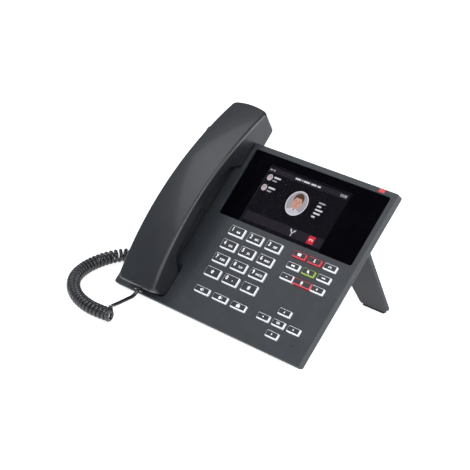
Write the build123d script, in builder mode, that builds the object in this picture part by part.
from build123d import *
import os
from math import cos, pi, radians, sin, tan

# Desk telephone with a tilted deck, a corded handset in a cradle on its left and a fold-out stand.
#
# Object frame: +X to the user's right, +Y away from the user, +Z up, z = 0 on the desk.
# Deck coordinates: u runs right from the deck's left edge, v runs up the slope from its
# front edge, and n stands square on the deck's top face.

# ---------------------------------------------------------------- deck and cases
RIGHT_MARGIN = 17.5       # from the function keys to the deck's right edge
TILT = 46.4               # slope of the deck above the desk, degrees
DECK_LIFT = 4.2           # height of the deck's top front corner above the desk
RIM_H = 7.5               # height of the visible edge of the deck
SKIN = 2.4                # thickness of the deck's top
WALL = 2.2                # wall of the cases
DECK_CORNER_R = 2.6
DECK_EDGE_R = 0.9         # rounding along the deck's top edge
DECK_NOSE_R = 0.8         # rounding along its lower edge
RIM_CLEAR = 0.6           # the deck's front lower edge, cut level, above the desk
FIT = 0.15                # gap between parts that locate each other
CLOSING_T = 2.0           # the rear cover's plate that closes the deck's underside

CASE_LEFT_INSET = 12.4    # deck edge to the deep part of the rear cover
CASE_RIGHT_INSET = 14.0
CASE_FRONT_INSET = 5.0
CASE_REAR_INSET = 6.5
CASE_DEPTH = 20.5         # deck top to the underside of the rear cover
CASE_CHAMFER = 4.0
SOLE_H = 2.5              # height of the rear cover's level sole above the desk

# ---------------------------------------------------------------- display
GLASS_H = 73.7
GLASS_T = 1.5
GLASS_LEFT = 30.3         # from the handset's middle line to the glass
GLASS_RIGHT = 6.4         # from the glass to the deck's right edge
GLASS_REAR = 5.6          # from the glass to the deck's rear edge
GLASS_GAP = 6.5           # from the top dial keys to the glass
GLASS_CORNER_R = 2.6
GLASS_SINK = 0.05         # glass face below the deck face
SCREEN_W = 108.0          # window for the lit area
SCREEN_H = 65.0
SCREEN_SHIFT_U = -8.1     # middle of the lit area from the middle of the glass
SCREEN_SHIFT_V = -4.45
MODULE_EDGE = 4.0         # display module beyond the lit area
MODULE_GAP = 0.1

# ---------------------------------------------------------------- keys
KEY_RISE = 1.7            # key top above the deck
KEY_TRAVEL = 1.0
KEY_GAP = 0.3             # gap round a key in its opening
KEY_CORNER_R = 0.9
KEY_EDGE_R = 0.35
KEY_FLANGE = 1.2          # flange that holds a key under the deck, beyond its front and back
KEY_FLANGE_T = 1.0
DIAL_W, DIAL_H = 19.4, 9.8
DIAL_PITCH_U, DIAL_PITCH_V = 25.46, 15.3
DIAL_LEFT = 66.75         # from the handset's middle line to the left dial keys
LINE_H = 6.7              # row of three keys under the dial keys
LINE_V = 28.1
LINE_GAP = 11.55          # from that row to the dial keys
FUNC_W, FUNC_H = 16.0, 6.5
FUNC_PITCH_U, FUNC_PITCH_V = 19.9, 11.95
FUNC_DROP = 9.4           # from the glass down to the top function keys
BLOCK_GAP = 16.03         # from the dial keys to the function keys
JOINED_GAP = 0.7          # gap between the three joined keys of the lowest function row
NAV_W, NAV_H = 15.4, 6.5
NAV_V = 28.7
NAV_STEP_U, NAV_STEP_V = 20.0, 11.8
MAT_T = 1.2
MAT_MARGIN = 5.0
DOME_R = 3.0
DOME_GAP = 0.1            # pressed key to its dome
BOARD_T = 1.6
BOARD_MARGIN = 2.4        # glass edge to board edge, on the left
BOARD_FRONT, BOARD_REAR = 12.0, 10.5   # board from the deck's front and rear edges

# ---------------------------------------------------------------- small parts of the deck
LAMP_W = 7.5
LAMP_L = 4.3
LAMP_T = 5.0
LAMP_EDGE_R = 0.7
LAMP_RIGHT = 20.2         # lamp from the deck's right edge
MIC_RIGHT, MIC_V = 18.7, 15.5
MIC_HOLE_R = 0.6
MIC_R, MIC_T = 3.0, 2.5
SPEAKER_R, SPEAKER_T = 18.0, 8.0
SPEAKER_V = 98.0
SPEAKER_RIM_T, SPEAKER_RIM_W = 2.5, 2.0
SPEAKER_CONE_D = 1.2
GRILLE_R, GRILLE_PITCH = 1.1, 4.0

# ---------------------------------------------------------------- cradle
CRADLE_U = 44.7           # middle line of the handset and its cradle
TROUGH_HALF = 17.5
TROUGH_D = 6.0
SEAT_GAP = 0.5            # handset to the floors of its pockets
SIDE_GAP = 0.55           # handset to the sides of its pockets
POCKET_WALL = 1.8
MOUTH_POCKET_R = 7.0
MOUTH_FRONT_RUN, MOUTH_TOE_RUN = 2.6, 1.9   # slope of the mouth pocket's front wall
MOUTH_TOE_CUT = 0.9       # start of the pocket's floor behind the handset's front lower corner
MOUTH_REAR_RUN = 11.0     # slope of its rear wall
MOUTH_REAR_OVER = 8.0     # its rear edge past the trough's start
EAR_POCKET_R = 6.0
EAR_FRONT_RUN = 9.0       # slope of the ear pocket's front wall
EAR_FRONT_OVER = 6.0      # from the grip's end to its front edge
EAR_REACH = 20.0          # its cut beyond the deck's rear edge
TROUGH_V0, TROUGH_V1 = 38.0, 166.0
HOOK_V = 26.0
HOOK_R = 3.0
HOOK_GAP = 0.1            # plunger to the handset, and round its stem
HOOK_COLLAR_R = 4.6
HOOK_TIP_R = 0.8

# ---------------------------------------------------------------- handset
HS_CROWN = 31.0           # highest line of the handset above the deck
HS_CROWN_V = 93.0
HS_ARCH_R = 350.0         # arch of the handset's back, end to end
HS_CROSS_R = 170.0        # crown of its back, side to side
HS_HALF = 26.6            # half width where it is widest, at the deck's level
HS_WIDEST_V = 20.0
HS_SIDE_R = 7000.0        # bow of its sides in plan
HS_MIDDLE_V = 110.0
HS_DRAFT = 0.8            # lean of its sides, degrees
HS_MOUTH_LEAN, HS_EAR_LEAN = 12.1, 21.6   # lean of its two end faces, degrees
HS_MOUTH_V, HS_MOUTH_N = 2.2, 20.0     # a point on the mouth end's face
HS_EAR_V, HS_EAR_N = 217.5, 5.0        # a point on the ear end's face
HS_EAR_BOW = 2.5          # bow of the ear end's face in plan
HS_MOUTH_BOTTOM = -6.0
HS_EAR_BOTTOM = -14.6
HS_MOUTH_HEEL_V = 31.0    # where the mouth block's underside ends
HS_EAR_HEEL_V = 165.5     # where the ear block's underside starts
GRIP_V0, GRIP_V1 = 46.5, 147.5         # ends of the grip
GRIP_END_N = 13.6
GRIP_MID_V, GRIP_MID_N = 95.0, 18.8
GRIP_R, GRIP_ARCH_R = 14.0, 300.0
HS_CORNER_R = 6.0
HS_RIDGE_R = 3.0          # rounding where the back meets the sides
HS_UNDER_R = 2.5
HS_WALL = 2.0
HS_PART_DROP = 5.4        # parting line below the crown
HS_HEEL_R = 6.0           # rounding of the heels of the two end blocks
SHELL_POSTS = (58.0, 138.0)            # screws that join the two shells
POST_R, POST_SEAT_R = 3.4, 4.6
SHELL_SCREW_L = 9.0
SHELL_SCREW_SINK = 1.6
SHELL_HEAD_T = 1.4
BALLAST_V0, BALLAST_V1 = 68.0, 122.0
BALLAST_W, BALLAST_T, BALLAST_GAP = 12.0, 6.0, 0.3
BALLAST_RIB = 3.0         # middle of the ribs under the ballast from its ends
RECEIVER_V, RECEIVER_R, RECEIVER_T = 187.0, 14.0, 7.0
RECEIVER_RIM_T = 3.0
HS_MIC_V, HS_MIC_R, HS_MIC_T = 22.0, 4.85, 5.0
SOUND_HOLE_R = 0.9
SOUND_RING_R = 5.0        # ring of sound holes over the receiver
HS_SOCKET_DROP = 0.4      # parting line to the handset's socket
PLUG_END_V = 0.6

# ---------------------------------------------------------------- sockets, plugs, screws
RJ9_W, RJ9_H, RJ9_D = 9.2, 8.4, 14.0   # four-way modular socket for handset and headset
RJ9_HOLE_W, RJ9_HOLE_H, RJ9_HOLE_D = 7.9, 6.9, 11.5
RJ45_W, RJ45_H, RJ45_D = 15.8, 10.2, 16.0
RJ45_HOLE_W, RJ45_HOLE_H, RJ45_HOLE_D = 11.9, 7.2, 13.0
PLUG_GAP = 0.1
PLUG_OUT = 4.0            # plug beyond the socket
PLUG_SHORT = 0.5          # plug's end to the end of its socket
BOOT_R, BOOT_L = 2.4, 3.0 # collar on the base plug
PORT_V = 53.6             # handset cord socket in the rear cover's left wall
PORT_GAP = 4.8            # between that socket and the headset socket
BAY_W = 50.0              # cable bay under the rear cover
BAY_LEFT = 8.0            # middle of the bay to the left of the deck's middle
BAY_FRONT = 34.7          # middle of the bay in front of the stand's hinge
BAY_WALL = 1.8
RJ45_GAP = 2.8            # between the network sockets, and from them to the bay's ends
POWER_R, POWER_HOLE_R, POWER_PIN_R, POWER_D = 4.5, 2.9, 0.9, 11.0
POWER_BACK = 2.0          # closed end of the power socket
BOSS_R, BOSS_END_N = 3.6, -14.0
SCREW_R, SCREW_HEAD_R, SCREW_HEAD_T = 1.45, 2.8, 2.0
SCREW_GAP = 0.05          # screw to the hole it is driven into
SCREW_CLEAR, HEAD_CLEAR = 0.25, 0.2    # screw and head to the holes they pass through
SCREW_L = 10.0
SCREW_RECESS = 4.0
DRIVE_R, DRIVE_D = 0.9, 1.0
HOLE_END = 1.6            # from the deck's skin to the end of a boss's hole
PILLAR_WALL = 1.2         # rear cover's pillar beyond the boss
BOSS_LEFT, BOSS_RIGHT = 12.4, 33.0     # screw bosses from the glass's and the deck's edge
BOSS_FRONT, BOSS_REAR = 22.0, 18.5
BOSS_STEP = 12.2          # bosses below the glass and below the function keys

# ---------------------------------------------------------------- stand
HINGE_BACK = 45.8         # hinge line from the deck's rear edge, along the slope
HINGE_DROP = 4.5          # hinge line below the rear cover
STAND_LEAN = 67.4         # deployed stand above the desk, degrees
STAND_T = 4.0
STAND_TOP_GAP = 6.2       # hinge line to the stand's top edge
FOOT_OUT, FOOT_IN = 103.7, 68.2        # half widths at the feet
STAND_TOP_OUT = 101.2
ARCH_IN = 52.0            # half width of the cable arch at its top
ARCH_H = 60.0             # arch above the feet, along the stand
FOOT_OUT_R, FOOT_IN_R = 6.0, 2.5
PAD_T = 2.0
BARREL_R, BARREL_W = 4.0, 16.0
BARREL_U = 77.0           # barrels from the middle
EAR_R, EAR_W = 4.9, 5.0
EAR_GAP = 0.3
PIN_R, PIN_GAP = 2.0, 0.06
STOP_GAP = 0.1            # stand to the ribs that hold it open
STOP_NEAR, STOP_FAR = 6.5, 10.5        # ends of those ribs along the stand, from the hinge line
STOP_T = 4.5
STOP_ROOT_NEAR, STOP_ROOT_FAR = 4.4, 10.4
STAND_CORNER_R, ARCH_CORNER_R = 5.0, 10.0
FEET_W, FEET_U = 22.0, 92.0
FEET_MARGIN, FEET_CORNER_R = 1.0, 2.0

# ---------------------------------------------------------------- cord
CORD_R = 1.9
COIL_R = 7.0              # outside of the curly part
COIL_Z = 7.05

# ---------------------------------------------------------------- worked out from the above
C, S = cos(radians(TILT)), sin(radians(TILT))
DIAL_U = CRADLE_U + DIAL_LEFT          # lower left dial key
DIAL_V = LINE_V + (LINE_H + DIAL_H) / 2 + LINE_GAP
GLASS_V0 = DIAL_V + 3 * DIAL_PITCH_V + DIAL_H / 2 + GLASS_GAP
FUNC_U = DIAL_U + 2 * DIAL_PITCH_U + (DIAL_W + FUNC_W) / 2 + BLOCK_GAP   # lower left function key
FUNC_V = GLASS_V0 - FUNC_DROP - 2 * FUNC_PITCH_V
NAV_U = FUNC_U + FUNC_PITCH_U
DECK_W = FUNC_U + 2 * FUNC_PITCH_U + FUNC_W / 2 + RIGHT_MARGIN
DECK_L = GLASS_V0 + GLASS_H + GLASS_REAR
GLASS_U0 = CRADLE_U + GLASS_LEFT
GLASS_W = DECK_W - GLASS_RIGHT - GLASS_U0
GLASS_U, GLASS_V = GLASS_U0 + GLASS_W / 2, GLASS_V0 + GLASS_H / 2
SCREEN_U, SCREEN_V = GLASS_U + SCREEN_SHIFT_U, GLASS_V + SCREEN_SHIFT_V
BOARD_U0, BOARD_U1 = GLASS_U0 + BOARD_MARGIN, DECK_W - RIGHT_MARGIN
BOARD_V0, BOARD_V1 = BOARD_FRONT, DECK_L - BOARD_REAR
LAMP_U, MIC_U = DECK_W - LAMP_RIGHT, DECK_W - MIC_RIGHT
BOSS_U0, BOSS_U1 = GLASS_U0 + BOSS_LEFT, DECK_W - BOSS_RIGHT
BOSS_SPOTS = ((BOSS_U0, BOSS_FRONT), (FUNC_U - (FUNC_W + BLOCK_GAP) / 2, BOSS_FRONT),
              (BOSS_U1, FUNC_V - FUNC_H / 2 - BOSS_STEP), (BOSS_U0, GLASS_V0 - BOSS_STEP),
              (BOSS_U0, DECK_L - BOSS_REAR), (BOSS_U1, DECK_L - BOSS_REAR))
HINGE_V, HINGE_N = DECK_L - HINGE_BACK, -CASE_DEPTH - HINGE_DROP
BAY_L = 2 * RJ45_W + 3 * RJ45_GAP
BAY_U0 = DECK_W / 2 - BAY_LEFT - BAY_W / 2
BAY_U1 = BAY_U0 + BAY_W
BAY_V0 = HINGE_V - BAY_FRONT - BAY_L / 2
BAY_V1 = BAY_V0 + BAY_L
RJ45_SPOTS = (BAY_V0 + RJ45_GAP + RJ45_W / 2, BAY_V1 - RJ45_GAP - RJ45_W / 2)
PORT_PITCH = RJ9_W + PORT_GAP
MOUTH_SLOPE, EAR_SLOPE = tan(radians(HS_MOUTH_LEAN)), tan(radians(HS_EAR_LEAN))
EAR_BOTTOM_V = HS_EAR_V - (HS_EAR_N - HS_EAR_BOTTOM) * EAR_SLOPE
MOUTH_BOTTOM_V = HS_MOUTH_V + (HS_MOUTH_N - HS_MOUTH_BOTTOM) * MOUTH_SLOPE
FRONT_Y = HS_MOUTH_V * C - (HS_MOUTH_N - 2.5) * S
BACK_Y = EAR_BOTTOM_V * C - (HS_EAR_BOTTOM + 0.7) * S
MID_Y = (FRONT_Y + BACK_Y) / 2         # brings the origin under the middle of the whole phone
MAT_TOP = -(SKIN + 0.1 + KEY_FLANGE_T + KEY_TRAVEL + DOME_GAP)
BOARD_TOP = MAT_TOP - MAT_T
CASE_U0, CASE_U1 = CASE_LEFT_INSET, DECK_W - CASE_RIGHT_INSET
CASE_V1 = DECK_L - CASE_REAR_INSET
CASE_IN_N = WALL - CASE_DEPTH
PORT_N = CASE_IN_N + RJ9_H / 2 + 0.1
BAY_ROOF_N = BOARD_TOP - BOARD_T - BAY_WALL - 0.5
HS_SOCKET_N = HS_CROWN - (HS_CROWN_V - HS_MOUTH_V) ** 2 / (2 * HS_ARCH_R) - HS_PART_DROP - HS_SOCKET_DROP - RJ9_H / 2
HS_SOCKET_V = HS_MOUTH_V + (HS_MOUTH_N - HS_SOCKET_N + RJ9_H / 2) * MOUTH_SLOPE
MOUTH_POCKET_D, EAR_POCKET_D = SEAT_GAP - HS_MOUTH_BOTTOM, SEAT_GAP - HS_EAR_BOTTOM

os.makedirs("parts", exist_ok=True)


# ================================================================ places and building blocks
def deck(u, v, n=0.0):
    """A point in deck coordinates, in the object frame."""
    return Vector(u - DECK_W / 2, v * C - n * S - MID_Y, v * S + n * C + DECK_LIFT)


def deck_plane(n=0.0):
    """The plane n above the deck's top face; its local x and y are u and v."""
    return Plane(origin=deck(0, 0, n), x_dir=(1, 0, 0), z_dir=(0, -S, C))


def side_plane(u):
    """The upright plane at u; its local x and y are v and n."""
    return Plane(origin=deck(u, 0, 0), x_dir=(0, C, S), z_dir=(1, 0, 0))


DECK_UP = Axis((0, 0, 0), (0, -S, C))


def slab(u, v, width, height, n0, n1, radius=0.0, mode=Mode.ADD):
    """A plate centred on (u, v) between two levels of n, with its corners rounded."""
    with BuildSketch(deck_plane(n0)) as outline:
        with Locations((u, v)):
            if radius:
                RectangleRounded(width, height, radius)
            else:
                Rectangle(width, height)
    extrude(outline.sketch, amount=n1 - n0, mode=mode)


def block(u0, u1, v0, v1, n0, n1, mode=Mode.ADD):
    """A box given by its limits in deck coordinates."""
    slab((u0 + u1) / 2, (v0 + v1) / 2, u1 - u0, v1 - v0, n0, n1, mode=mode)


def post(spots, radius, n0, n1, mode=Mode.ADD):
    """Round posts or holes square to the deck."""
    with BuildSketch(deck_plane(n0)) as discs:
        with Locations(*spots):
            Circle(radius)
    extrude(discs.sketch, amount=n1 - n0, mode=mode)


def rod(v, n, u0, u1, radius, mode=Mode.ADD):
    """A round bar or hole along u."""
    with BuildSketch(side_plane(u0)) as disc:
        with Locations((v, n)):
            Circle(radius)
    extrude(disc.sketch, amount=u1 - u0, mode=mode)


def prism(points, u0, u1, mode=Mode.ADD):
    """A side profile of (v, n) points, carried from u0 to u1."""
    with BuildSketch(side_plane(u0)) as profile:
        with BuildLine():
            Polyline(*points, close=True)
        make_face()
    extrude(profile.sketch, amount=u1 - u0, mode=mode)


def finish(piece, name):
    """Label a finished piece and write its file."""
    piece.part.label = name
    export_step(piece.part, "parts/" + name + ".step")


def sole_n(v, height):
    """The n at which a level plane, height above the desk, passes under v."""
    return (height - DECK_LIFT - v * S) / C


# ================================================================ keys and their places
def key_list():
    """Every key: its name, centre and size on the deck."""
    keys = []
    dial_names = ("star", "0", "hash", "7", "8", "9", "4", "5", "6", "1", "2", "3")
    for place, name in enumerate(dial_names):
        row, column = divmod(place, 3)
        centre = (DIAL_U + column * DIAL_PITCH_U, DIAL_V + row * DIAL_PITCH_V)
        keys.append(("key_" + name, centre, (DIAL_W, DIAL_H)))
    for column, name in enumerate(("mute", "speaker", "messages")):
        keys.append(("key_" + name, (DIAL_U + column * DIAL_PITCH_U, LINE_V), (DIAL_W, LINE_H)))
    joined_w = 2 * (FUNC_PITCH_U - FUNC_W / 2 - JOINED_GAP)
    for place in range(9):
        row, column = divmod(place, 3)
        centre = (FUNC_U + column * FUNC_PITCH_U, FUNC_V + row * FUNC_PITCH_V)
        width = joined_w if (row, column) == (0, 1) else FUNC_W
        keys.append(("key_function_" + str(place + 1), centre, (width, FUNC_H)))
    for name, right, up in (("left", -1, 0), ("right", 1, 0), ("down", 0, -1), ("up", 0, 1), ("ok", 0, 0)):
        centre = (NAV_U + right * NAV_STEP_U, NAV_V + up * NAV_STEP_V)
        keys.append(("key_" + name, centre, (NAV_W, NAV_H)))
    return keys


KEYS = key_list()
KEY_STEM_N = -SKIN - 0.1               # underside of the deck skin, less a running gap


def build_key(name, centre, size):
    """A key cap with the flange that keeps it in its opening."""
    u, v = centre
    width, height = size
    with BuildPart() as key:
        slab(u, v, width, height, KEY_STEM_N, KEY_RISE, KEY_CORNER_R)
        fillet(key.faces().sort_by(DECK_UP)[-1].edges(), KEY_EDGE_R)
        slab(u, v, width, height + 2 * KEY_FLANGE, KEY_STEM_N - KEY_FLANGE_T, KEY_STEM_N, KEY_CORNER_R)
    finish(key, name)


# ================================================================ cradle shapes
def handset_half(v):
    """Half the handset's width at v, at the deck's level."""
    return HS_HALF - (v - HS_WIDEST_V) ** 2 / (2 * HS_SIDE_R)


MOUTH_POCKET_HALF = handset_half(TROUGH_V0 + MOUTH_POCKET_R) + SIDE_GAP
EAR_POCKET_HALF = handset_half(HS_EAR_HEEL_V) + SIDE_GAP
EAR_POCKET_HALF -= (HS_EAR_BOTTOM + HS_UNDER_R) * tan(radians(HS_DRAFT))


def cradle_form(half, radius, v0, v1, profile):
    """A pocket of the cradle: its outline in plan, cut to its side profile."""
    with BuildPart() as form:
        slab(CRADLE_U, (v0 + v1) / 2, 2 * half, v1 - v0, -CASE_DEPTH, SKIN, radius)
        prism(profile, 0, DECK_W, mode=Mode.INTERSECT)
    return form.part


def mouth_pocket(grow):
    """The mouth end's pocket, or its tub when grown by the pocket's wall."""
    top = -SKIN / 2 if grow else SKIN
    depth = MOUTH_POCKET_D + grow
    front = MOUTH_BOTTOM_V - grow
    rear = TROUGH_V0 + MOUTH_REAR_OVER + grow
    profile = ((front - MOUTH_FRONT_RUN, top), (front - MOUTH_TOE_RUN, MOUTH_TOE_RUN + MOUTH_TOE_CUT - depth),
               (front + MOUTH_TOE_CUT, -depth), (rear - MOUTH_REAR_RUN, -depth), (rear, top))
    return cradle_form(MOUTH_POCKET_HALF + grow, MOUTH_POCKET_R + grow, front - MOUTH_FRONT_RUN, rear, profile)


def ear_pocket(grow):
    """The ear end's pocket, which runs out through the deck's rear edge."""
    top = -SKIN / 2 if grow else SKIN
    depth = EAR_POCKET_D + grow
    front = GRIP_V1 + EAR_FRONT_OVER - grow
    reach = DECK_L + EAR_REACH
    end = DECK_L if grow else reach
    profile = ((front, top), (front + EAR_FRONT_RUN, -depth), (end, -depth), (end, top))
    return cradle_form(EAR_POCKET_HALF + grow, EAR_POCKET_R + grow, front, reach, profile)


def trough(grow):
    """The finger trough between the two pockets."""
    top = -SKIN / 2 if grow else SKIN
    profile = ((TROUGH_V0, top), (TROUGH_V0, -TROUGH_D - grow), (TROUGH_V1, -TROUGH_D - grow), (TROUGH_V1, top))
    return cradle_form(TROUGH_HALF + grow, EAR_POCKET_R, TROUGH_V0, TROUGH_V1, profile)


# ================================================================ front cover
with BuildPart() as front_cover:
    slab(DECK_W / 2, DECK_L / 2, DECK_W, DECK_L, -RIM_H, 0, DECK_CORNER_R)
    fillet(front_cover.faces().sort_by(DECK_UP)[-1].edges(), DECK_EDGE_R)
    fillet(front_cover.edges().filter_by(Axis.X).sort_by(Axis.Z)[0], DECK_NOSE_R)
    below = -RIM_H - 1
    level_v = (RIM_CLEAR - DECK_LIFT - below * C) / S
    prism(((-1, sole_n(-1, RIM_CLEAR)), (-1, below), (level_v, below)), 0, DECK_W, mode=Mode.SUBTRACT)
    slab(DECK_W / 2, DECK_L / 2, DECK_W - 2 * WALL, DECK_L - 2 * WALL, -RIM_H, -SKIN,
         DECK_CORNER_R - WALL, mode=Mode.SUBTRACT)
    for shape in (mouth_pocket, ear_pocket, trough):
        add(shape(POCKET_WALL))
    for shape in (mouth_pocket, ear_pocket, trough):
        add(shape(0), mode=Mode.SUBTRACT)
    for name, (u, v), (width, height) in KEYS:
        slab(u, v, width + 2 * KEY_GAP, height + 2 * KEY_GAP, -SKIN, SKIN, KEY_CORNER_R, mode=Mode.SUBTRACT)
    joined_half = FUNC_PITCH_U + FUNC_W / 2
    slab(FUNC_U + FUNC_PITCH_U, FUNC_V, 2 * joined_half + 2 * KEY_GAP, FUNC_H + 2 * KEY_GAP,
         -SKIN, SKIN, KEY_CORNER_R, mode=Mode.SUBTRACT)
    slab(GLASS_U, GLASS_V, GLASS_W, GLASS_H, -GLASS_T - GLASS_SINK, SKIN, GLASS_CORNER_R, mode=Mode.SUBTRACT)
    slab(SCREEN_U, SCREEN_V, SCREEN_W, SCREEN_H, -SKIN, 0, mode=Mode.SUBTRACT)
    block(LAMP_U - LAMP_W / 2, LAMP_U + LAMP_W / 2, DECK_L - LAMP_L, DECK_L + 1, -LAMP_T, 1, mode=Mode.SUBTRACT)
    post([(MIC_U, MIC_V)], MIC_HOLE_R, -SKIN, 1, mode=Mode.SUBTRACT)
    post([(CRADLE_U, HOOK_V)], HOOK_COLLAR_R, BOSS_END_N, -MOUTH_POCKET_D - 0.2)
    post([(CRADLE_U, HOOK_V)], HOOK_R + HOOK_GAP, -CASE_DEPTH, 0, mode=Mode.SUBTRACT)
    grille = [(CRADLE_U, SPEAKER_V)]
    for ring in (1, 2):
        angles = [pi * k / (3 * ring) for k in range(6 * ring)]
        grille += [(CRADLE_U + ring * GRILLE_PITCH * cos(a), SPEAKER_V + ring * GRILLE_PITCH * sin(a)) for a in angles]
    post(grille, GRILLE_R, -TROUGH_D - POCKET_WALL - 1, 0, mode=Mode.SUBTRACT)
    post(BOSS_SPOTS, BOSS_R, BOSS_END_N, -SKIN + 0.2)
    post(BOSS_SPOTS, SCREW_R + SCREW_GAP, BOSS_END_N, -SKIN - HOLE_END, mode=Mode.SUBTRACT)
finish(front_cover, "front_cover")

# ================================================================ keys
for name, centre, size in KEYS:
    build_key(name, centre, size)

# ================================================================ rear cover
STAND_DIR = Vector(0, cos(radians(STAND_LEAN)), -sin(radians(STAND_LEAN)))
STAND_V = STAND_DIR.Y * C + STAND_DIR.Z * S          # the stand's direction in deck coordinates
STAND_N = -STAND_DIR.Y * S + STAND_DIR.Z * C
EAR_SPOTS = [side * BARREL_U + end * (BARREL_W / 2 + EAR_GAP + EAR_W / 2) for side in (-1, 1) for end in (-1, 1)]


def behind_stand(along, out):
    """A (v, n) point on the stand's rear side: along it from the hinge, and out from its middle plane."""
    return (HINGE_V + along * STAND_V - out * STAND_N, HINGE_N + along * STAND_N + out * STAND_V)


with BuildPart() as rear_cover:
    lip = 2 * (WALL + FIT)
    slab(DECK_W / 2, DECK_L / 2, DECK_W - lip, DECK_L - lip, -RIM_H, -RIM_H + CLOSING_T, DECK_CORNER_R - WALL)
    outer = ((CASE_FRONT_INSET, -RIM_H + CLOSING_T), (CASE_FRONT_INSET, sole_n(CASE_FRONT_INSET, SOLE_H)))
    heel_v = (SOLE_H - DECK_LIFT + CASE_DEPTH * C) / S
    outer += ((heel_v, -CASE_DEPTH), (CASE_V1 - CASE_CHAMFER, -CASE_DEPTH))
    outer += ((CASE_V1, CASE_CHAMFER - CASE_DEPTH), (CASE_V1, -RIM_H + CLOSING_T))
    prism(outer, CASE_U0, CASE_U1)
    front_in = CASE_FRONT_INSET + WALL
    heel_in = (SOLE_H + WALL - DECK_LIFT - CASE_IN_N * C) / S
    inner = ((front_in, 0), (front_in, sole_n(front_in, SOLE_H + WALL)), (heel_in, CASE_IN_N))
    inner += ((CASE_V1 - CASE_CHAMFER, CASE_IN_N), (CASE_V1 - WALL, CASE_CHAMFER - CASE_DEPTH + 1), (CASE_V1 - WALL, 0))
    prism(inner, CASE_U0 + WALL, CASE_U1 - WALL, mode=Mode.SUBTRACT)
    block(BAY_U0 - BAY_WALL, BAY_U1 + BAY_WALL, BAY_V0 - BAY_WALL, BAY_V1 + BAY_WALL,
          CASE_IN_N, BAY_ROOF_N + BAY_WALL)
    block(BAY_U0, BAY_U1, BAY_V0, BAY_V1, -CASE_DEPTH, BAY_ROOF_N, mode=Mode.SUBTRACT)
    for shape in (mouth_pocket, ear_pocket):
        add(shape(POCKET_WALL + FIT), mode=Mode.SUBTRACT)
    ear_half = EAR_POCKET_HALF + POCKET_WALL + FIT
    block(CRADLE_U - ear_half, CRADLE_U + ear_half, CASE_V1 - 2 * WALL, DECK_L,
          -EAR_POCKET_D - POCKET_WALL - FIT, 0, mode=Mode.SUBTRACT)
    post(BOSS_SPOTS, BOSS_R + PILLAR_WALL, CASE_IN_N, BOSS_END_N)
    post(BOSS_SPOTS, SCREW_R + SCREW_CLEAR, -CASE_DEPTH, BOSS_END_N, mode=Mode.SUBTRACT)
    post(BOSS_SPOTS, SCREW_HEAD_R + HEAD_CLEAR, -CASE_DEPTH, SCREW_RECESS - CASE_DEPTH, mode=Mode.SUBTRACT)
    for middle in EAR_SPOTS:
        u0 = DECK_W / 2 + middle - EAR_W / 2
        block(u0, u0 + EAR_W, HINGE_V - EAR_R, HINGE_V + EAR_R, HINGE_N, CASE_IN_N)
        rod(HINGE_V, HINGE_N, u0, u0 + EAR_W, EAR_R)
        rod(HINGE_V, HINGE_N, u0, u0 + EAR_W, PIN_R, mode=Mode.SUBTRACT)
    rest = STAND_T / 2 + STOP_GAP
    stop = (behind_stand(STOP_NEAR, rest), behind_stand(STOP_FAR, rest), behind_stand(STOP_FAR, rest + STOP_T),
            (HINGE_V + STOP_ROOT_FAR, CASE_IN_N - 1), (HINGE_V + STOP_ROOT_NEAR, CASE_IN_N - 1),
            (HINGE_V + STOP_ROOT_NEAR, HINGE_N - 3.2))
    for side in (-1, 1):
        reach = BARREL_W / 2 + EAR_GAP + EAR_W
        middle = DECK_W / 2 + side * BARREL_U
        prism(stop, middle - reach, middle + reach)
    for place in (0, 1):
        v = PORT_V + place * PORT_PITCH
        block(CASE_U0 - 1, CASE_U0 + WALL, v - RJ9_W / 2 - FIT, v + RJ9_W / 2 + FIT,
              PORT_N - RJ9_H / 2 - FIT, PORT_N + RJ9_H / 2 + FIT, mode=Mode.SUBTRACT)
    for v in RJ45_SPOTS:
        block(BAY_U1, BAY_U1 + BAY_WALL, v - RJ45_W / 2 - FIT, v + RJ45_W / 2 + FIT,
              CASE_IN_N, CASE_IN_N + RJ45_H + FIT, mode=Mode.SUBTRACT)
    rod((BAY_V0 + BAY_V1) / 2, CASE_IN_N + POWER_R, BAY_U0 - BAY_WALL, BAY_U0, POWER_R + FIT, mode=Mode.SUBTRACT)
finish(rear_cover, "rear_cover")

# ================================================================ display, board and mat
with BuildPart() as display_glass:
    slab(GLASS_U, GLASS_V, GLASS_W - 2 * FIT, GLASS_H - 2 * FIT, -GLASS_SINK - GLASS_T, -GLASS_SINK, GLASS_CORNER_R)
finish(display_glass, "display_glass")

with BuildPart() as display_module:
    slab(SCREEN_U, SCREEN_V, SCREEN_W + 2 * MODULE_EDGE, SCREEN_H + 2 * MODULE_EDGE, BOARD_TOP, -SKIN - MODULE_GAP)
finish(display_module, "display_module")

with BuildPart() as main_board:
    block(BOARD_U0, BOARD_U1, BOARD_V0, BOARD_V1, BOARD_TOP - BOARD_T, BOARD_TOP)
    post(BOSS_SPOTS, BOSS_R + FIT, BOARD_TOP - BOARD_T, BOARD_TOP, mode=Mode.SUBTRACT)
finish(main_board, "main_board")

with BuildPart() as keypad_mat:
    mat_u0, mat_u1 = DIAL_U - DIAL_W / 2 - MAT_MARGIN, BOARD_U1
    mat_v1 = SCREEN_V - SCREEN_H / 2 - MODULE_EDGE - 0.5
    block(mat_u0, mat_u1, BOARD_V0, mat_v1, BOARD_TOP, BOARD_TOP + MAT_T - 0.5)
    post([centre for name, centre, size in KEYS], DOME_R, BOARD_TOP, MAT_TOP)
    post(BOSS_SPOTS, BOSS_R + FIT, BOARD_TOP, MAT_TOP, mode=Mode.SUBTRACT)
finish(keypad_mat, "keypad_mat")

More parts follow.
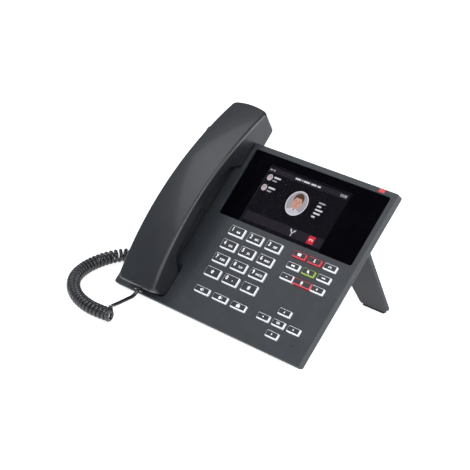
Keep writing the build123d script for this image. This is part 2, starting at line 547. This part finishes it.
# ================================================================ lamp, sound and hook switch
with BuildPart() as message_lamp:
    block(LAMP_U - LAMP_W / 2 + FIT, LAMP_U + LAMP_W / 2 - FIT, DECK_L - LAMP_L + FIT, DECK_L - 0.1, -LAMP_T, -0.1)
    fillet(message_lamp.edges().filter_by(Axis.X).sort_by(Axis.Z)[-1], LAMP_EDGE_R)
finish(message_lamp, "message_lamp")

with BuildPart() as base_microphone:
    post([(MIC_U, MIC_V)], MIC_R, -SKIN - MIC_T, -SKIN)
finish(base_microphone, "base_microphone")

with BuildPart() as loudspeaker:
    speaker_top = -TROUGH_D - POCKET_WALL
    rim_n = speaker_top - SPEAKER_RIM_T
    post([(CRADLE_U, SPEAKER_V)], SPEAKER_R, rim_n, speaker_top)
    post([(CRADLE_U, SPEAKER_V)], SPEAKER_R * 0.72, speaker_top - SPEAKER_T, rim_n)
    post([(CRADLE_U, SPEAKER_V)], SPEAKER_R - SPEAKER_RIM_W, speaker_top - SPEAKER_CONE_D, speaker_top,
         mode=Mode.SUBTRACT)
finish(loudspeaker, "loudspeaker")

with BuildPart() as hook_plunger:
    post([(CRADLE_U, HOOK_V)], HOOK_R, CASE_IN_N + 1.0, HS_MOUTH_BOTTOM - HOOK_GAP)
    fillet(hook_plunger.faces().sort_by(DECK_UP)[-1].edges(), HOOK_TIP_R)
finish(hook_plunger, "hook_plunger")


# ================================================================ sockets
def socket_along_x(u0, v, n, size, hole, inward):
    """A modular socket whose mouth is at u0 and whose body runs inward along u."""
    (width, height, depth), (hole_w, hole_h, hole_d) = size, hole
    u1, hole_u = u0 + inward * depth, u0 + inward * hole_d
    block(min(u0, u1), max(u0, u1), v - width / 2, v + width / 2, n - height / 2, n + height / 2)
    block(min(u0, hole_u), max(u0, hole_u), v - hole_w / 2, v + hole_w / 2,
          n - hole_h / 2, n + hole_h / 2, mode=Mode.SUBTRACT)


RJ9_SIZE, RJ9_HOLE = (RJ9_W, RJ9_H, RJ9_D), (RJ9_HOLE_W, RJ9_HOLE_H, RJ9_HOLE_D)
with BuildPart() as handset_cord_socket:
    socket_along_x(CASE_U0, PORT_V, PORT_N, RJ9_SIZE, RJ9_HOLE, 1)
finish(handset_cord_socket, "handset_cord_socket")

with BuildPart() as headset_socket:
    socket_along_x(CASE_U0, PORT_V + PORT_PITCH, PORT_N, RJ9_SIZE, RJ9_HOLE, 1)
finish(headset_socket, "headset_socket")

with BuildPart() as network_sockets:
    for v in RJ45_SPOTS:
        socket_along_x(BAY_U1, v, CASE_IN_N + RJ45_H / 2, (RJ45_W, RJ45_H, RJ45_D),
                       (RJ45_HOLE_W, RJ45_HOLE_H, RJ45_HOLE_D), 1)
finish(network_sockets, "network_sockets")

with BuildPart() as power_socket:
    power_v, power_n = (BAY_V0 + BAY_V1) / 2, CASE_IN_N + POWER_R
    rod(power_v, power_n, BAY_U0 - POWER_D, BAY_U0, POWER_R)
    rod(power_v, power_n, BAY_U0 - POWER_D + POWER_BACK, BAY_U0, POWER_HOLE_R, mode=Mode.SUBTRACT)
    rod(power_v, power_n, BAY_U0 - POWER_D + POWER_BACK, BAY_U0 - 1, POWER_PIN_R)
finish(power_socket, "power_socket")

# ================================================================ cover screws and front feet
with BuildPart() as cover_screws:
    seat = SCREW_RECESS - CASE_DEPTH
    post(BOSS_SPOTS, SCREW_HEAD_R, seat - SCREW_HEAD_T, seat)
    post(BOSS_SPOTS, SCREW_R, seat, seat + SCREW_L)
    post(BOSS_SPOTS, DRIVE_R, seat - SCREW_HEAD_T, seat - SCREW_HEAD_T + DRIVE_D, mode=Mode.SUBTRACT)
finish(cover_screws, "cover_screws")

with BuildPart() as front_feet:
    toe = deck(0, CASE_FRONT_INSET, sole_n(CASE_FRONT_INSET, SOLE_H)).Y + FEET_MARGIN
    heel = deck(0, heel_v, -CASE_DEPTH).Y - FEET_MARGIN
    with BuildSketch(Plane.XY):
        with Locations((-FEET_U, (toe + heel) / 2), (FEET_U, (toe + heel) / 2)):
            RectangleRounded(FEET_W, heel - toe, FEET_CORNER_R)
    extrude(amount=SOLE_H)
finish(front_feet, "front_feet")

# ================================================================ stand
HINGE = deck(0, HINGE_V, HINGE_N)
STAND_FRAME = Plane(origin=(0, HINGE.Y, HINGE.Z), x_dir=(1, 0, 0), z_dir=(0, STAND_DIR.Z, -STAND_DIR.Y))
STAND_L = HINGE.Z / -STAND_DIR.Z       # hinge line to the desk, along the stand

with BuildPart() as stand:
    with BuildSketch(STAND_FRAME) as legs:
        with BuildLine():
            low, foot, arch = -STAND_L - 6.0, -STAND_L, ARCH_H - STAND_L
            Polyline((-FOOT_OUT, low), (-STAND_TOP_OUT, -STAND_TOP_GAP), (STAND_TOP_OUT, -STAND_TOP_GAP),
                     (FOOT_OUT, low), (FOOT_IN, low), (FOOT_IN, foot), (ARCH_IN, arch),
                     (-ARCH_IN, arch), (-FOOT_IN, foot), (-FOOT_IN, low), close=True)
        make_face()
        fillet(legs.vertices().group_by(Axis.Y)[2], ARCH_CORNER_R)
        fillet(legs.vertices().group_by(Axis.Y)[-1], STAND_CORNER_R)
    extrude(amount=STAND_T / 2, both=True)
    for side in (-1, 1):
        middle = side * BARREL_U
        with BuildSketch(STAND_FRAME):
            with Locations((middle, -STAND_TOP_GAP)):
                Rectangle(BARREL_W, 2 * STAND_TOP_GAP)
        extrude(amount=STAND_T / 2, both=True)
    for side in (-1, 1):
        u0 = DECK_W / 2 + side * BARREL_U - BARREL_W / 2
        rod(HINGE_V, HINGE_N, u0, u0 + BARREL_W, BARREL_R)
        rod(HINGE_V, HINGE_N, u0, u0 + BARREL_W, PIN_R + PIN_GAP, mode=Mode.SUBTRACT)
    with BuildSketch(Plane.XY.offset(PAD_T)):
        Rectangle(3 * FOOT_OUT, 4 * STAND_L)
    extrude(amount=-STAND_L, mode=Mode.SUBTRACT)
    for half, radius in ((FOOT_OUT, FOOT_OUT_R), (FOOT_IN, FOOT_IN_R)):
        fillet([edge for edge in stand.edges().filter_by(GeomType.LINE)
                if abs(abs(edge.center().X) - half) < 1.5 and edge.center().Z < PAD_T + 0.1], radius)
finish(stand, "stand")

with BuildPart() as stand_pins:
    for side in (-1, 1):
        middle = DECK_W / 2 + side * BARREL_U
        reach = BARREL_W / 2 + EAR_GAP + EAR_W - 0.4
        rod(HINGE_V, HINGE_N, middle - reach, middle + reach, PIN_R)
finish(stand_pins, "stand_pins")

with BuildPart() as stand_feet:
    foot_y = HINGE.Y + STAND_DIR.Y * (STAND_L - PAD_T)
    depth = STAND_T / sin(radians(STAND_LEAN))
    with BuildSketch(Plane.XY):
        for side in (-1, 1):
            inner, outer = FOOT_IN + FOOT_IN_R, FOOT_OUT - FOOT_OUT_R
            with Locations((side * (inner + outer) / 2, foot_y)):
                Rectangle(outer - inner, depth)
    extrude(amount=PAD_T)
finish(stand_feet, "stand_feet")


# ================================================================ handset forms
def handset_outline(n, inset):
    """The handset's outline in plan at one level, moved inward by inset."""
    mouth = HS_MOUTH_V + (HS_MOUTH_N - n) * MOUTH_SLOPE + inset / cos(radians(HS_MOUTH_LEAN))
    ear = HS_EAR_V - (HS_EAR_N - n) * EAR_SLOPE - inset / cos(radians(HS_EAR_LEAN))
    grow = -inset - n * tan(radians(HS_DRAFT))
    near, middle, far = [(handset_half(v) + grow, v) for v in (mouth, HS_MIDDLE_V, ear - HS_EAR_BOW)]
    with BuildSketch(deck_plane(n)) as outline:
        with BuildLine():
            for side in (-1, 1):
                ThreePointArc(*[(CRADLE_U + side * half, v) for half, v in (near, middle, far)])
            Line((CRADLE_U - near[0], mouth), (CRADLE_U + near[0], mouth))
            ThreePointArc((CRADLE_U - far[0], far[1]), (CRADLE_U, ear), (CRADLE_U + far[0], far[1]))
        make_face()
        fillet(outline.vertices(), HS_CORNER_R - inset)
    return outline.sketch.face()


def handset_underside(inset):
    """The (v, n) corners of the handset's side profile, open above, and their roundings."""
    low, high = HS_MOUTH_BOTTOM + inset, HS_EAR_BOTTOM + inset
    points = ((-30.0, 60.0), (-30.0, low), (HS_MOUTH_HEEL_V - inset * 0.6, low),
              (GRIP_V0 - inset * 0.5, GRIP_END_N + inset), (GRIP_MID_V, GRIP_MID_N + inset),
              (GRIP_V1 + inset * 0.5, GRIP_END_N + inset), (HS_EAR_HEEL_V + inset * 0.6, high),
              (260.0, high), (260.0, 60.0))
    return points, (0.5, 0.5, HS_HEEL_R, GRIP_R, GRIP_ARCH_R, GRIP_R, HS_HEEL_R, 0.5, 0.5)


def under_crown(drop):
    """The solid below the handset's arched back, lowered by drop."""
    centre = deck(0, HS_CROWN_V, HS_CROWN - HS_ARCH_R)
    sweep = 60.0
    start = radians(TILT - sweep / 2)
    section_plane = Plane(origin=centre, x_dir=(1, 0, 0), z_dir=(0, -cos(start), -sin(start)))
    middle, top, wide = CRADLE_U - DECK_W / 2 - centre.X, HS_ARCH_R - drop, HS_HALF * 1.2
    sag = wide ** 2 / (2 * HS_CROSS_R)
    with BuildPart() as form:
        with BuildSketch(section_plane):
            with BuildLine():
                ThreePointArc((middle - wide, top - sag), (middle, top), (middle + wide, top - sag))
                Polyline((middle + wide, top - sag), (middle + wide, top - 3 * HS_CROWN),
                         (middle - wide, top - 3 * HS_CROWN), (middle - wide, top - sag))
            make_face()
        revolve(axis=Axis(centre, (1, 0, 0)), revolution_arc=sweep)
    return form.part


def handset_form(inset):
    """The handset as one solid, moved inward by inset; its cavity is the same form."""
    with BuildPart() as form:
        loft([handset_outline(n, inset) for n in (HS_EAR_BOTTOM - 6.0, HS_CROWN + 6.0)], ruled=True)
        points, radii = handset_underside(inset)
        with BuildSketch(side_plane(0)) as profile:
            with BuildLine():
                FilletPolyline(*points, radius=radii, close=True)
            make_face()
        extrude(profile.sketch, amount=2 * CRADLE_U, mode=Mode.INTERSECT)
        add(under_crown(inset), mode=Mode.INTERSECT)
    return form


CAVITY = handset_form(HS_WALL).part
with BuildPart() as rounded_handset:
    add(handset_form(0).part)
    fillet(rounded_handset.faces().sort_by(DECK_UP)[-1].edges(), HS_RIDGE_R)
HANDSET = rounded_handset.part
LOWER_HALF = under_crown(HS_PART_DROP)


# ================================================================ handset places
def grip_n(v, inset):
    """The level of the grip's underside at v, moved inward by inset."""
    run = GRIP_MID_V - GRIP_V0 if v < GRIP_MID_V else GRIP_V1 - GRIP_MID_V
    return GRIP_MID_N + inset - (GRIP_MID_N - GRIP_END_N) * abs(v - GRIP_MID_V) / run


def underside_edges(form):
    """The edges round the handset's underside, from its mouth end to its ear end."""
    under = form.faces().filter_by(lambda face: face.normal_at().dot(Vector(0, -S, C)) < -0.5)
    edges = under.edges()
    return [edge for edge in edges if sum(edge.is_same(other) for other in edges) == 1]


def along_v(v0, v1, n, width, height, mode=Mode.ADD):
    """A box along the handset's middle line, centred on n."""
    block(CRADLE_U - width / 2, CRADLE_U + width / 2, v0, v1, n - height / 2, n + height / 2, mode=mode)


def screw_boss(v):
    """A boss that hangs from the outer shell's back at v, with its screw's hole."""
    with BuildPart() as boss:
        post([(CRADLE_U, v)], POST_R, grip_n(v, HS_WALL) + SHELL_SCREW_SINK, HS_CROWN)
        post([(CRADLE_U, v)], SCREW_R + SCREW_GAP, 0, grip_n(v, HS_WALL) + SHELL_SCREW_L, mode=Mode.SUBTRACT)
        add(CAVITY, mode=Mode.INTERSECT)
    return boss.part


# ================================================================ handset shells
with BuildPart() as handset_outer_shell:
    add(HANDSET)
    add(LOWER_HALF, mode=Mode.SUBTRACT)
    add(CAVITY, mode=Mode.SUBTRACT)
    for v in SHELL_POSTS:
        add(screw_boss(v))
finish(handset_outer_shell, "handset_outer_shell")

with BuildPart() as handset_inner_shell:
    add(HANDSET)
    fillet(underside_edges(handset_inner_shell), HS_UNDER_R)
    add(LOWER_HALF, mode=Mode.INTERSECT)
    add(CAVITY, mode=Mode.SUBTRACT)
    for v in SHELL_POSTS:
        floor = grip_n(v, 0)
        post([(CRADLE_U, v)], POST_SEAT_R, floor + HS_WALL / 2, floor + HS_WALL + SHELL_SCREW_SINK)
        post([(CRADLE_U, v)], SCREW_R + SCREW_CLEAR, 0, HS_CROWN / 1.4, mode=Mode.SUBTRACT)
        post([(CRADLE_U, v)], SCREW_HEAD_R + HEAD_CLEAR, 0, floor + SHELL_SCREW_SINK, mode=Mode.SUBTRACT)
    ballast_seat = GRIP_MID_N + HS_WALL + BALLAST_GAP
    for v in (BALLAST_V0 + BALLAST_RIB, BALLAST_V1 - BALLAST_RIB):
        block(CRADLE_U - BALLAST_W / 2, CRADLE_U + BALLAST_W / 2, v - 1, v + 1, grip_n(v, HS_WALL / 2), ballast_seat)
    along_v(MOUTH_BOTTOM_V - 20, HS_SOCKET_V + HS_WALL / cos(radians(HS_MOUTH_LEAN)) + FIT, HS_SOCKET_N,
            RJ9_W + 2 * FIT, RJ9_H + 2 * FIT, mode=Mode.SUBTRACT)
    ring = [(CRADLE_U + SOUND_RING_R * cos(pi * k / 3), RECEIVER_V + SOUND_RING_R * sin(pi * k / 3)) for k in range(6)]
    post([(CRADLE_U, RECEIVER_V)] + ring, SOUND_HOLE_R, HS_EAR_BOTTOM - 1,
         HS_EAR_BOTTOM + HS_WALL, mode=Mode.SUBTRACT)
    post([(CRADLE_U, HS_MIC_V - 3), (CRADLE_U - 2.5, HS_MIC_V), (CRADLE_U + 2.5, HS_MIC_V)], SOUND_HOLE_R / 1.5,
         HS_MOUTH_BOTTOM - 1, HS_MOUTH_BOTTOM + HS_WALL, mode=Mode.SUBTRACT)
finish(handset_inner_shell, "handset_inner_shell")

# ================================================================ handset contents
with BuildPart() as receiver_capsule:
    receiver_n = HS_EAR_BOTTOM + HS_WALL
    post([(CRADLE_U, RECEIVER_V)], RECEIVER_R, receiver_n, receiver_n + RECEIVER_RIM_T)
    post([(CRADLE_U, RECEIVER_V)], RECEIVER_R * 0.7, receiver_n + RECEIVER_RIM_T, receiver_n + RECEIVER_T)
    post([(CRADLE_U, RECEIVER_V)], RECEIVER_R - 5, receiver_n, receiver_n + 1, mode=Mode.SUBTRACT)
finish(receiver_capsule, "receiver_capsule")

with BuildPart() as handset_microphone:
    post([(CRADLE_U, HS_MIC_V)], HS_MIC_R, HS_MOUTH_BOTTOM + HS_WALL, HS_MOUTH_BOTTOM + HS_WALL + HS_MIC_T)
finish(handset_microphone, "handset_microphone")

with BuildPart() as ballast_weight:
    block(CRADLE_U - BALLAST_W / 2, CRADLE_U + BALLAST_W / 2, BALLAST_V0, BALLAST_V1,
          ballast_seat, ballast_seat + BALLAST_T)
finish(ballast_weight, "ballast_weight")

with BuildPart() as handset_socket:
    along_v(HS_SOCKET_V, HS_SOCKET_V + RJ9_D, HS_SOCKET_N, RJ9_W, RJ9_H)
    along_v(HS_SOCKET_V, HS_SOCKET_V + RJ9_HOLE_D, HS_SOCKET_N, RJ9_HOLE_W, RJ9_HOLE_H, mode=Mode.SUBTRACT)
finish(handset_socket, "handset_socket")

with BuildPart() as handset_screws:
    for v in SHELL_POSTS:
        head = grip_n(v, 0) + SHELL_SCREW_SINK
        post([(CRADLE_U, v)], SCREW_HEAD_R, head - SHELL_HEAD_T, head)
        post([(CRADLE_U, v)], SCREW_R, head, head + SHELL_SCREW_L - 1.5)
        post([(CRADLE_U, v)], DRIVE_R, head - SHELL_HEAD_T, head - 0.5, mode=Mode.SUBTRACT)
finish(handset_screws, "handset_screws")

# ================================================================ plugs and cord
with BuildPart() as handset_plug:
    along_v(PLUG_END_V, HS_SOCKET_V + RJ9_HOLE_D - PLUG_SHORT, HS_SOCKET_N,
            RJ9_HOLE_W - 2 * PLUG_GAP, RJ9_HOLE_H - 2 * PLUG_GAP)
finish(handset_plug, "handset_plug")

with BuildPart() as base_plug:
    wide, high = RJ9_HOLE_W - 2 * PLUG_GAP, RJ9_HOLE_H - 2 * PLUG_GAP
    block(CASE_U0 - PLUG_OUT, CASE_U0 + RJ9_HOLE_D - PLUG_SHORT, PORT_V - wide / 2, PORT_V + wide / 2,
          PORT_N - high / 2, PORT_N + high / 2)
    rod(PORT_V, PORT_N, CASE_U0 - PLUG_OUT - BOOT_L, CASE_U0 - PLUG_OUT, BOOT_R)
finish(base_plug, "base_plug")


def place(x, y, z):
    """A point given from the deck's front left corner, with its height above the desk."""
    return (x - DECK_W / 2, y - MID_Y, z)


def route(points):
    """A cord's path: straight runs joined by arcs as large as the runs allow."""
    path = [Vector(*point) for point in points]
    runs = [(b - a).length for a, b in zip(path, path[1:])]
    turns = [radians((b - a).get_angle(c - b)) for a, b, c in zip(path, path[1:], path[2:])]
    radii = [0.45 * min(pair) / tan(turn / 2) for pair, turn in zip(zip(runs, runs[1:]), turns)]
    return path, radii


def tube(points, radius, name):
    """A round tube along a route, with its end faces square to it."""
    path, radii = route(points)
    with BuildPart() as piece:
        with BuildLine():
            line = FilletPolyline(*path, radius=radii)
        with BuildSketch(Plane(origin=path[0], z_dir=path[1] - path[0])):
            Circle(radius)
        sweep(path=line)
    finish(piece, name)


PLUG_POINT = deck(CRADLE_U, PLUG_END_V, HS_SOCKET_N)
BASE_POINT = deck(CASE_U0 - PLUG_OUT - BOOT_L, PORT_V, PORT_N)
LEAD = [tuple(PLUG_POINT), tuple(PLUG_POINT - 6.5 * Vector(0, C, S))]
LEAD += [place(45.0, -20.0, 5.9), place(46.6, -33.0, 5.6), place(50.4, -44.5, 7.6), place(57.4, -54.0, 10.4)]
COIL = [place(x, y, COIL_Z) for x, y in (
    (66.2, -57.2), (48.4, -59.9), (30.9, -59.3), (9.4, -54.0), (-12.6, -42.0), (-30.6, -25.0),
    (-41.1, -4.0), (-45.1, 18.0), (-43.6, 36.0), (-37.1, 49.5), (-26.1, 54.8))]
TAIL = [tuple(BASE_POINT), tuple(BASE_POINT - Vector(9.0, 0, 0)), place(-12.6, 47.4, 30.0),
        place(-20.1, 48.5, 20.5), place(-23.6, 50.0, 12.0), place(-25.9, 50.8, 6.8)]
tube(LEAD, CORD_R, "cord_lead")
tube(COIL, COIL_R, "cord_coil")
tube(TAIL, CORD_R, "cord_tail")
